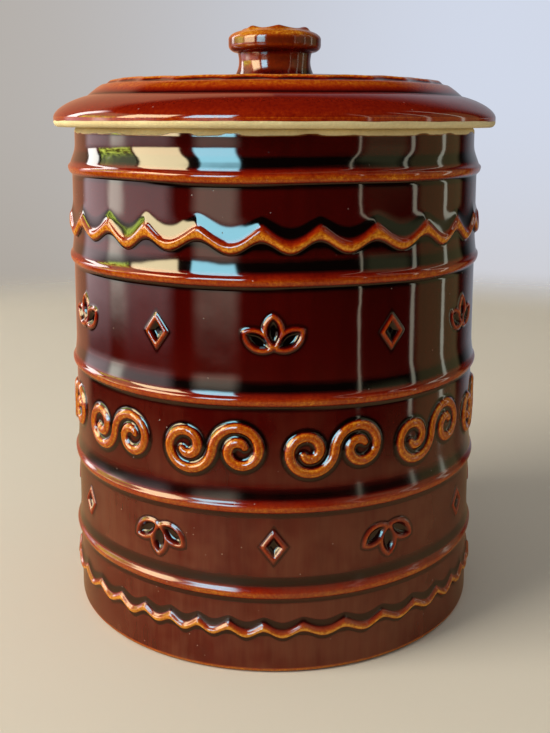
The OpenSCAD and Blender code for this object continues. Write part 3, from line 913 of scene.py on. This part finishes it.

# %% [markdown]
# ## The glaze
#
# This glaze is an iron-rich glass. Where it lies thick it is a red so deep that it looks nearly
# black in a crease, and where it has run off a ridge it is thin enough for the pale clay to shine
# through as amber. So one number decides the colour: how thin the glass is. It starts from the
# mark that each surface carries, and noises disturb it: cloudy patches a few centimetres across,
# streaks that ran down, and the fine speckle of iron that shows only in the amber. Lower down the
# wall a painted reflection of the pale floor lies on it: the colour is made a little lighter, with
# a dull red-brown sheen broken into upright streaks. The knob, glazed by itself, turned from red to
# honey brown. A ramp of colours turns the number into colour. The surface itself is glossy, with
# slow waves a centimetre long that bend reflections, and a few pinholes. A painted picture of the
# glaze could be laid on instead, but it would blur close up, and it couldn't follow a changed relief.

# %% Colours of the glaze, from pooled to thin
GLAZE_STOPS = [
    (0.0, (0.002, 0.0004, 0.0003)),
    (0.10, (0.026, 0.0007, 0.0004)),
    (0.18, (0.056, 0.0011, 0.0005)),
    (0.28, (0.110, 0.0028, 0.0007)),
    (0.38, (0.180, 0.0065, 0.0009)),
    (0.48, (0.250, 0.0150, 0.0012)),
    (0.58, (0.330, 0.0340, 0.0018)),
    (0.68, (0.400, 0.0680, 0.0026)),
    (0.76, (0.470, 0.1100, 0.0040)),
    (0.87, (0.620, 0.1950, 0.0090)),
    (1.0, (0.800, 0.3400, 0.0300)),
]
CLAY, CLAY_DARK, BURNT_CLAY = (0.84, 0.69, 0.35), (0.50, 0.37, 0.15), (0.30, 0.10, 0.02)
# the second colour is a painted reflection of the pale floor, laid on the lower wall
HONEY, PAINTED_FLOOR_SHEEN, PINHOLE = (0.130, 0.030, 0.002), (0.150, 0.046, 0.022), (0.42, 0.32, 0.26)
print("the ramp has", len(GLAZE_STOPS), "stops")


# %% Paint a glazed piece
def glaze(name, base, cloud, streak, gloss, honey=0.0):
    """The glaze over one piece. base is how thin it lies on plain walls, cloud and streak are how
    much the patches and the runs change that, gloss is the lowest roughness, and honey is how far
    the whole piece turns from red to honey brown."""
    material = bpy.data.materials.new(name)
    material.use_nodes = True
    paint = Paint(material.node_tree)
    where = paint.place()
    height = paint.node("ShaderNodeSeparateXYZ", None, {0: where}, output=2)
    patches = paint.noise(where, 34, 3.0, 0.6)
    runs = paint.noise(paint.place((1, 1, 0.07)), 170, 2.0, 0.5, 0.2)
    mottle = paint.noise(where, 850, 3.0, 0.65)
    speckle = paint.noise(where, 2900, 2.0, 0.6)
    thin, pool, bare = paint.mark("thin"), paint.mark("pool"), paint.mark("bare")
    amber = thin.at_most(1.0).at_least(0.0)
    broken = (mottle - 0.5) * 1.1 + (speckle - 0.5) * 0.7
    # painted reflection of the pale floor: the glaze is made lighter lower down the wall
    depth = base + height.step(0.13, 0.04) * 0.09
    depth = depth + (patches - 0.5) * cloud + (runs - 0.5) * streak
    depth = depth + amber * (0.90 - base) + amber * broken * 0.9
    # the pooling mark darkens the glaze: thick glaze in coves and hollows, painted shade under the lips
    # and round the knob's neck
    depth = depth - pool.at_most(1.2).at_least(0.0) * (1 - amber * 0.8) * 0.2
    colour = paint.node("ShaderNodeValToRGB", {"stops": GLAZE_STOPS}, {"Fac": depth})
    colour = paint.mix((1 - amber * 0.7) * pool.step(1.0, 0.1) * honey, colour, HONEY)
    # painted reflection of the pale floor lower down the wall: a dull red-brown sheen in upright streaks
    low_down = height.step(0.125, 0.035)
    sheen_streaks = paint.noise(paint.place((1, 1, 0.1)), 420, 2.0, 0.6)
    painted_floor_sheen = patches.step(0.36, 0.62) * 0.65 + (sheen_streaks - 0.5) * 0.9
    painted_floor_sheen = painted_floor_sheen.at_least(0.0) * low_down * (1 - amber * 0.6) * pool.step(0.5, 0.0)
    colour = paint.mix(painted_floor_sheen.at_most(1.0) * 0.7, colour, PAINTED_FLOOR_SHEEN)
    grain = paint.noise(where, 900, 3.0, 0.65)
    stain = paint.noise(where, 60, 2.0, 0.5)
    clay = paint.mix((grain - 0.5) * 0.8 + (stain - 0.5) * 1.1 + 0.25, CLAY, CLAY_DARK)
    edge_noise = paint.noise(where, 260, 2.0, 0.5)
    frayed = bare + (edge_noise - 0.5) * 0.35
    raw = frayed.step(0.42, 0.6)
    burnt = frayed.step(0.2, 0.42) * (1 - raw)
    colour = paint.mix(burnt * 0.6, colour, BURNT_CLAY)
    colour = paint.mix(raw, colour, clay)
    cells_of = {"Vector": where, "Scale": 260.0, "Randomness": 1.0}
    cells = paint.node("ShaderNodeTexVoronoi", {"feature": "F1"}, cells_of)
    rare = paint.noise(where, 75, 0.0)
    pit = cells.step(0.07, 0.04) * rare.step(0.58, 0.64)
    colour = paint.mix(pit * (1 - raw) * 0.5, colour, PINHOLE)
    rough = raw * 0.68 + (1 - raw) * (gloss + 0.045 * patches + low_down * 0.09 + pit * 0.4)
    waves = paint.noise(where, 62, 1.0, 0.4)
    peel = paint.noise(where, 240, 1.0, 0.5)
    relief = waves * 0.12 + peel * 0.010 - pit * 0.05 + raw * grain * 0.12
    normal = paint.node("ShaderNodeBump", None, {"Height": relief, "Strength": 1.0, "Distance": 0.001})
    sockets = {"Base Color": colour, "Roughness": rough, "Normal": normal, "IOR": 1.65}
    shader = paint.node("ShaderNodeBsdfPrincipled", None, sockets)
    paint.node("ShaderNodeOutputMaterial", None, {"Surface": shader})
    return material


jar_glaze = glaze("jar_glaze", base=0.15, cloud=0.09, streak=0.07, gloss=0.035)
lid_glaze = glaze("lid_glaze", base=0.17, cloud=0.08, streak=0.04, gloss=0.05)
knob_glaze = glaze("knob_glaze", base=0.20, cloud=0.20, streak=0.05, gloss=0.09, honey=0.5)
for piece in bpy.data.objects:
    if piece.name.startswith("jar_"):
        piece.data.materials.append(jar_glaze)
bpy.data.objects["lid_turned"].data.materials.append(lid_glaze)
bpy.data.objects["knob_turned"].data.materials.append(knob_glaze)
print("materials", [m.name for m in (jar_glaze, lid_glaze, knob_glaze)])

# %% [markdown]
# ## Floor and backdrop
#
# The jar stands on a plain pale floor that fades into a pale backdrop, as a table's far edge does
# when it is out of focus. The floor is a disc, so it looks the same from every side, and its
# colour thins to nothing toward its edge by a Mix Shader. The gloss sees less of the table: it
# ends in front of the jar, and past it lies a dark room. A dark glaze only looks deep when it has
# something dark to mirror. The backdrop is the world itself, pale where the camera looks past the
# jar, a little warmer on the window's side.

# %% The floor
FLOOR_R, FLOOR_CORNERS = 0.95, 96
floor_angle = np.linspace(0, 2 * np.pi, FLOOR_CORNERS, endpoint=False)
ring = np.stack([FLOOR_R * np.cos(floor_angle), FLOOR_R * np.sin(floor_angle), 0 * floor_angle], -1)
floor_mesh = bpy.data.meshes.new("floor")
floor_mesh.from_pydata(ring.tolist(), [], [list(range(FLOOR_CORNERS))])
floor = bpy.data.objects.new("floor", floor_mesh)
bpy.context.scene.collection.objects.link(floor)
floor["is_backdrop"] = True

floor_paint = bpy.data.materials.new("floor_paint")
floor_paint.use_nodes = True
paint = Paint(floor_paint.node_tree)
where = paint.node("ShaderNodeTexCoord", output="Object")
far = paint.node("ShaderNodeVectorMath", {"operation": "LENGTH"}, {0: where}, output="Value")
glossy = paint.node("ShaderNodeLightPath", output="Is Glossy Ray")
cloud = paint.noise(where, 5.0, 2.0)
tone = paint.mix((cloud - 0.5) * 0.5 + 0.5, (0.64, 0.575, 0.455), (0.70, 0.635, 0.51))
tone = paint.mix(glossy, tone, (0.44, 0.29, 0.14))
matt_of = {"Base Color": tone, "Roughness": 0.75, "Specular IOR Level": 0.2}
matt = paint.node("ShaderNodeBsdfPrincipled", None, matt_of)
clear = paint.node("ShaderNodeBsdfTransparent")
gone = far.step(0.62, 0.93).at_least(far.step(0.2, 0.42) * glossy)
faded = paint.node("ShaderNodeMixShader", None, {0: gone, 1: matt, 2: clear})
paint.node("ShaderNodeOutputMaterial", None, {"Surface": faded})
floor_mesh.materials.append(floor_paint)
print("floor radius", FLOOR_R, "m")

# %% [markdown]
# ## The room
#
# Polished glaze is drawn mostly by what it mirrors. So only glossy rays see a room that is painted
# on the world by azimuth and elevation. To the left is a tall window with garden, a cream blind and
# sky in its lights, a dimmer wall under its sill, and something brown beyond it. To the right are
# three thin uprights with dim olive panels between them, and a pale room lies behind the jar. The
# window starts at the height of the jar's rim. That is why the plain walls mirror what lies under
# it, while each cove, where the wall turns up, draws it as a bright dash. All other rays see an
# even, soft light. Panels of light in the air would do too, but their edges are always sharp.

# %% Directions in the room
world = bpy.data.worlds.new("room")
bpy.context.scene.world = world
world.use_nodes = True
paint = Paint(world.node_tree)
direction = paint.node("ShaderNodeTexCoord", output="Generated")
x, y, z = (paint.node("ShaderNodeSeparateXYZ", None, {0: direction}, output=i) for i in range(3))
azimuth = x.math("ARCTAN2", x, y * -1.0) * (180 / np.pi)
rise = z.math("ARCSINE", z) * (180 / np.pi)
TOP_SOFT = 4.0


def pane(room, start, end, low, high, colour, soft):
    """Paints one upright pane over the room: the product of four soft steps at two azimuths and
    two elevations in degrees. Azimuth 0 is in front of the jar and grows to its right."""
    sides = azimuth.step(start - soft, start + soft) * azimuth.step(end + soft, end - soft)
    inside = sides * rise.step(low - soft, low + soft) * rise.step(high + TOP_SOFT, high - TOP_SOFT)
    return paint.mix(inside, room, colour)


print("a direction takes", len(world.node_tree.nodes), "nodes")

# %% Backdrop, garden and the pale room behind
upper = paint.mix(x.step(-0.32, 0.24), (0.46, 0.43, 0.40), (0.64, 0.69, 0.81))
lower = paint.mix(x.step(-0.32, 0.24), (0.40, 0.36, 0.31), (0.60, 0.58, 0.58))
backdrop = paint.mix(z.step(-0.3, 0.05), lower, upper)
behind = azimuth.math("ABSOLUTE", azimuth).step(128, 150) * rise.step(45, 20)
pale = paint.mix(x.step(-0.2, 0.1), (0.58, 0.30, 0.18), (0.30, 0.31, 0.35))
room = paint.mix(behind, (0.010, 0.008, 0.006), pale)
leaves = paint.noise(direction, 16, 3.0, 0.7)
garden = paint.mix(leaves.step(0.40, 0.62), (0.35, 0.60, 0.10), (5.0, 6.2, 0.9))
garden = paint.mix(leaves.step(0.66, 0.74), garden, (9.0, 9.0, 7.5))
garden = paint.mix(rise.step(9, 24), garden, (0.9, 0.95, 0.55))
print("backdrop and garden bring it to", len(world.node_tree.nodes), "nodes")

# %% Panes of the room
WINDOW, SILL = (4.0, 38), 2.4
PANES = [
    # start, end, (low, high), colour, how soft its edges are
    (-180, -129, (-30, 40), (0.70, 0.33, 0.19), 5.0),
    (-128, -117, WINDOW, (7.0, 6.8, 6.4), 1.0),
    (-114, -85, WINDOW, garden, 1.0),
    (-83, -53, WINDOW, (12.0, 9.8, 5.8), 1.0),
    (-44.5, -21, WINDOW, (4.6, 10.0, 12.0), 1.0),
    (-103, -88, (-8, SILL), (4.4, 4.1, 3.6), 4.0),
    (-130, -103, (-10, SILL), (1.7, 1.30, 1.35), 4.0),
    (-90, -58, (-9, SILL), (1.4, 1.05, 1.05), 5.0),
    (-43, -20, (-9, SILL), (1.5, 1.2, 0.95), 4.0),
    (46, 47.4, (-14, 50), (2.2, 2.0, 1.5), 0.5),
    (50, 77, (0, 34), (0.24, 0.25, 0.13), 4.0),
    (80, 82.6, (-16, 50), (1.9, 1.9, 1.5), 0.5),
    (85, 125, (-24, 34), (0.24, 0.20, 0.09), 3.0),
    (106, 109, (-18, 50), (1.8, 1.85, 1.5), 0.5),
]
for start, end, (low, high), pane_colour, soft in PANES:
    room = pane(room, start, end, low, high, pane_colour, soft)
plain = (0.40, 0.40, 0.41)
seen = paint.node("ShaderNodeLightPath", output="Is Camera Ray")
gloss = paint.node("ShaderNodeLightPath", output="Is Glossy Ray")
colour = paint.mix(seen, paint.mix(gloss, plain, room), backdrop)
shader = paint.node("ShaderNodeBackground", None, {"Color": colour, "Strength": 1.0})
paint.node("ShaderNodeOutputWorld", None, {"Surface": shader})
print("the world has", len(world.node_tree.nodes), "nodes")

# %% [markdown]
# ## The light
#
# One big soft light stands to the left and gives the jar its form and its shadow. It isn't
# mirrored, because the painted window already is.

# %% A soft light from the left
light_azimuth, light_rise = np.radians(-66), np.radians(34)
light_far, light_side, light_aim, radiance = 1.6, 0.95, 0.1, 10.0
lamp = bpy.data.lights.new("key", "AREA")
lamp.shape = "SQUARE"
lamp.size = light_side
lamp.energy = radiance * light_side**2 * np.pi
lamp.color = (1.0, 0.96, 0.90)
key = bpy.data.objects.new("key", lamp)
level_part = light_far * np.cos(light_rise)
key.location = (
    level_part * np.sin(light_azimuth),
    -level_part * np.cos(light_azimuth),
    light_aim + light_far * np.sin(light_rise),
)
key.rotation_euler = (np.pi / 2 - light_rise, 0, light_azimuth)
key.visible_camera = False
key.visible_glossy = False
bpy.context.scene.collection.objects.link(key)
print("the light gives", round(lamp.energy, 1), "W")

# %% [markdown]
# ## Camera
#
# The camera was fitted to the circles of the hoops and the lid: it stands 0.38 m in front of the
# jar's axis, a little above the rim's height, and looks 15 degrees down.

# %% The camera of the photograph
FOCAL_PX, PHOTO_H_PX, SENSOR = 930, 733, 36
CAMERA_AT, DOWN, ROLL = (0.0002, -0.3824, 0.1946), 14.84, -0.1
camera = bpy.data.cameras.new("camera")
camera.sensor_width = SENSOR
camera.lens = FOCAL_PX * SENSOR / PHOTO_H_PX
camera.clip_start = 0.01
viewer = bpy.data.objects.new("camera", camera)
viewer.location = CAMERA_AT
viewer.rotation_euler = (np.radians(90 - DOWN), np.radians(ROLL), 0)
bpy.context.scene.collection.objects.link(viewer)
bpy.context.scene.camera = viewer
bpy.context.scene.view_settings.view_transform = "Standard"
print("lens", round(camera.lens, 2), "mm")

# %% [markdown]
# ## The box of the skins
#
# The skins must stay inside the box of the solids. The box of the skins, without the floor, is
# worked out here.

# %% Work out the box of the skins
low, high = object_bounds()
